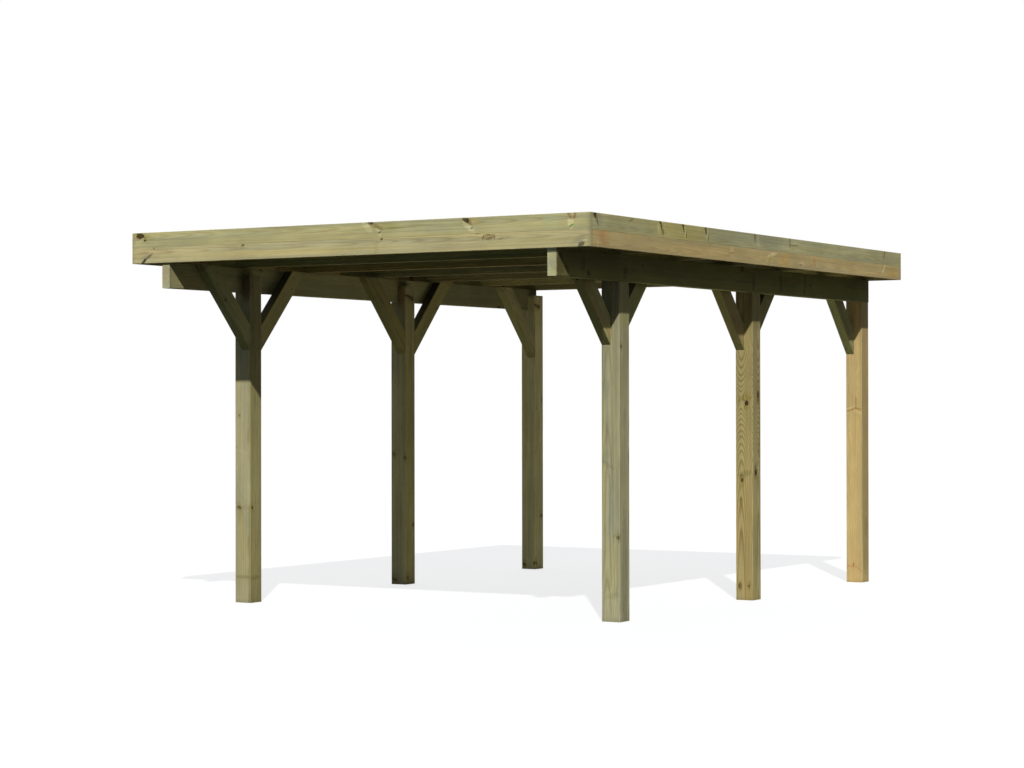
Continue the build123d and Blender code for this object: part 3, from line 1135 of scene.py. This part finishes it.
def screws(name, parts, places, finish):
    """One piece with a screw, made up of these parts, at every place."""
    mesh = bmesh.new()
    for place, normal in places:
        for part in parts:
            turn(mesh, place, normal, *part)
    data = bpy.data.meshes.new(name)
    mesh.to_mesh(data)
    mesh.free()
    data.materials.append(finish)
    piece = new_object(name, data)
    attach(piece, "root")


def small_part(name, dull, bright, metallic, rough):
    """Finish of screws and seals: two tones in soft clouds, with a fine grain."""
    material, net = emptied(bpy.data.materials.new(name))
    place = net.place()
    cloud = place.noise(SCREW_CLOUDS)
    grain = place.noise(SCREW_GRAIN, *SMOOTH)
    colour = net.mix(cloud.step(*SCREW_TONES), linear(*dull), linear(*bright))
    colour = colour * grain.step(*SCREW_LIGHT)
    net.surface(colour, cloud * SCREW_ROUGH + rough, grain, SCREW_RELIEF, SCREW_SHEEN, metallic)
    return material


def roof_screw_places():
    """On rib crowns over every joist; the sheets lap on two of those crowns."""
    left_low, left_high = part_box("roof_sheet_left")
    right_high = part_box("roof_sheet_right")[1]
    first, last = left_low.x + RIB_HALF, right_high.x - RIB_HALF
    for number in range(1, JOISTS + 1):
        low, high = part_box(f"joist_{number}")
        for crown in ROOF_CROWNS:
            lapped = crown in (CROWNS_PER_SHEET, 2 * CROWNS_PER_SHEET)
            x = first + (last - first) * crown / ROOF_CROWNS[-1]
            yield (x, (low.y + high.y) / 2, right_high.z if lapped else left_high.z), Z


def post_screw_places():
    """Two through each post head into the beam."""
    for side, way in SIDES:
        for row in ROWS:
            low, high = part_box(f"post_{side}_{row}")
            inner = low.x if way > 0 else high.x
            middle = (low.y + high.y) / 2
            for step, drop in POST_SCREWS:
                yield (inner, middle + step, high.z - drop), (-way, 0, 0)


def brace_screw_places():
    """One through the tail of each brace into the post, two through its head into the beam."""
    length = math.hypot(BRACE_REACH, BRACE_DROP)
    for place, side, row, way, tilt in braces():
        low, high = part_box("brace_" + place)
        inner = low.x if way > 0 else high.x
        post_low, post_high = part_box(f"post_{side}_{row}")
        face = post_low.y if tilt < 0 else post_high.y
        foot = Vector(((low.x + high.x) / 2, face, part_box("beam_" + side)[0].z - BRACE_DROP))
        up = Vector((0, tilt * BRACE_REACH, BRACE_DROP)) / length
        inward = Vector((0, -tilt * BRACE_DROP, BRACE_REACH)) / length
        yield foot + BRACE_TAIL_SCREW * up, -inward
        for rise, aside in BRACE_HEAD_SCREWS:
            spot = foot + rise * up + aside * inward
            yield (inner, spot.y, spot.z), (-way, 0, 0)


def joist_screw_places():
    """Skewed through each joist's faces into the beam, but not where the front fascia covers one."""
    for side, _ in SIDES:
        beam_low, beam_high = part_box("beam_" + side)
        x = (beam_low.x + beam_high.x) / 2
        for number in range(1, JOISTS + 1):
            low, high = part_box(f"joist_{number}")
            z = low.z + JOIST_SCREW_RISE
            yield (x + JOIST_SCREW_ASIDE, high.y, z), (0, 1, JOIST_SCREW_SKEW)
            if number > 1:
                yield (x - JOIST_SCREW_ASIDE, low.y, z), (0, -1, JOIST_SCREW_SKEW)


zinc = small_part("zinc", (132, 130, 118), (168, 166, 154), metallic=0.8, rough=0.3)
coat = small_part("screw_coat", (92, 86, 58), (104, 98, 68), metallic=0.0, rough=0.5)
rubber = small_part("rubber", (34, 34, 34), (44, 44, 43), metallic=0.0, rough=0.65)
screws("roofing_screws", ROOFING_SCREW, roof_screw_places(), zinc)
screws("roofing_seals", ROOFING_SEAL, roof_screw_places(), rubber)
screws("post_head_screws", WOOD_SCREW, post_screw_places(), coat)
screws("brace_screws", WOOD_SCREW, brace_screw_places(), coat)
screws("joist_screws", WOOD_SCREW, joist_screw_places(), coat)


# ---- light, floor and camera


def sun_lamp(name, origin, strength, softness):
    lamp = bpy.data.lights.new(name, "SUN")
    lamp.energy = strength
    lamp.angle = softness
    new_object(name, lamp).rotation_euler = Vector(origin).to_track_quat("Z", "Y").to_euler()


def seen_rays(net):
    """1 for the rays that show the background itself, 0 for those that carry its light."""
    path = net.add("LightPath").outputs
    camera, glossy, through = [Value(net, path[f"Is {kind} Ray"])
                               for kind in ("Camera", "Glossy", "Transmission")]
    return camera.at_least(glossy).at_least(through)


def make_world():
    """Soft sky light, but plain white where the sky itself shows."""
    bpy.context.scene.world, net = emptied(bpy.data.worlds.new("sky"))
    direction = net.get("Generated", "TexCoord")
    light = net.mix(direction.dot(Z).step(0.0, HORIZON_TOP), HORIZON, SKY)
    light = light * (direction.dot(SKY_LEAN) + 1.0)
    colour = net.mix(seen_rays(net), light, WHITE)
    background = net.get(0, "Background", {"Color": colour})
    net.add("OutputWorld", {"Surface": background})


def floor_finish():
    """White to the camera apart from the carport's shadow, and pale to the light in the bay."""
    material, net = emptied(bpy.data.materials.new("floor"))
    seen = seen_rays(net)
    sides = abs(net.place() - BAY_CENTRE).parts()
    along, across = [side.step(reach + BAY_BLUR, reach) for side, reach in zip(sides, BAY_REACH)]
    bounce = net.mix(along * across, YARD_BOUNCE, BAY_BOUNCE)
    lit = net.get(0, "BsdfDiffuse", {"Color": net.mix(seen, bounce, FLOOR_SHOWN)})
    plain = net.get(0, "Emission", {"Color": WHITE})
    both = net.get(0, "MixShader", (seen * FLOOR_GLOW, lit, plain))
    net.add("OutputMaterial", {"Surface": both})
    return material


def make_floor():
    mesh = bpy.data.meshes.new("floor")
    reach = FLOOR_SIZE / 2
    corners = [(-reach, -reach, 0), (reach, -reach, 0), (reach, reach, 0), (-reach, reach, 0)]
    mesh.from_pydata(corners, [], [(0, 1, 2, 3)])
    mesh.materials.append(floor_finish())
    floor = new_object("floor", mesh)


def make_camera():
    lens = bpy.data.cameras.new("camera")
    lens.lens = CAMERA_LENS
    lens.clip_end = CAMERA_FAR
    camera = new_object("camera", lens)
    aim = (Matrix.Rotation(CAMERA_YAW, 4, "Z") @ Matrix.Rotation(math.pi / 2 + CAMERA_PITCH, 4, "X")
           @ Matrix.Rotation(-CAMERA_ROLL, 4, "Z"))
    camera.matrix_world = Matrix.Translation(CAMERA_PLACE) @ aim
    bpy.context.scene.camera = camera


sun_lamp("sun", SUN_FROM, SUN_STRENGTH, SUN_SOFTNESS)
sun_lamp("fill", FILL_FROM, FILL_STRENGTH, FILL_SOFTNESS)
make_world()
make_floor()
make_camera()
bpy.context.scene.view_settings.view_transform = "Standard"
